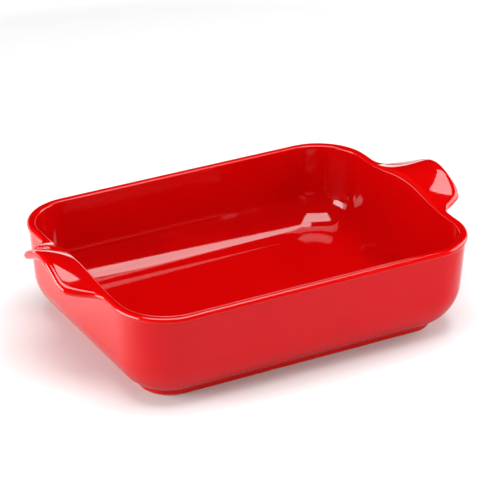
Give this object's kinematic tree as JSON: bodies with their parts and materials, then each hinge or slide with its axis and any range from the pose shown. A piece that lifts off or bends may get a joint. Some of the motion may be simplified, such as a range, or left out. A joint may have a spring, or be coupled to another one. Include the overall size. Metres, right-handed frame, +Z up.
{
  "type": "baking dish",
  "caption": "Deep rectangular baking dish in red glazed stoneware, with a rolled rim, an arched handle at each end and a foot ring, for baking and serving food.",
  "frame": {"origin": "on the table under the middle of the dish, centre of the foot ring's contact face", "axes": "+X along the dish towards the right handle, +Y across it towards the back, +Z up out of the open basin"},
  "size_m": [0.3972, 0.2594, 0.1074],
  "materials": {
    "red_glaze": "opaque red glaze, high gloss, fired on stoneware",
    "foot_glaze": "red glaze on the sides, bare stoneware on the contact face"
  },
  "bodies": {
    "root": {"dish_body": "red_glaze", "handle_left": "red_glaze", "handle_right": "red_glaze", "foot_ring": "foot_glaze"}
  },
  "joints": []
}
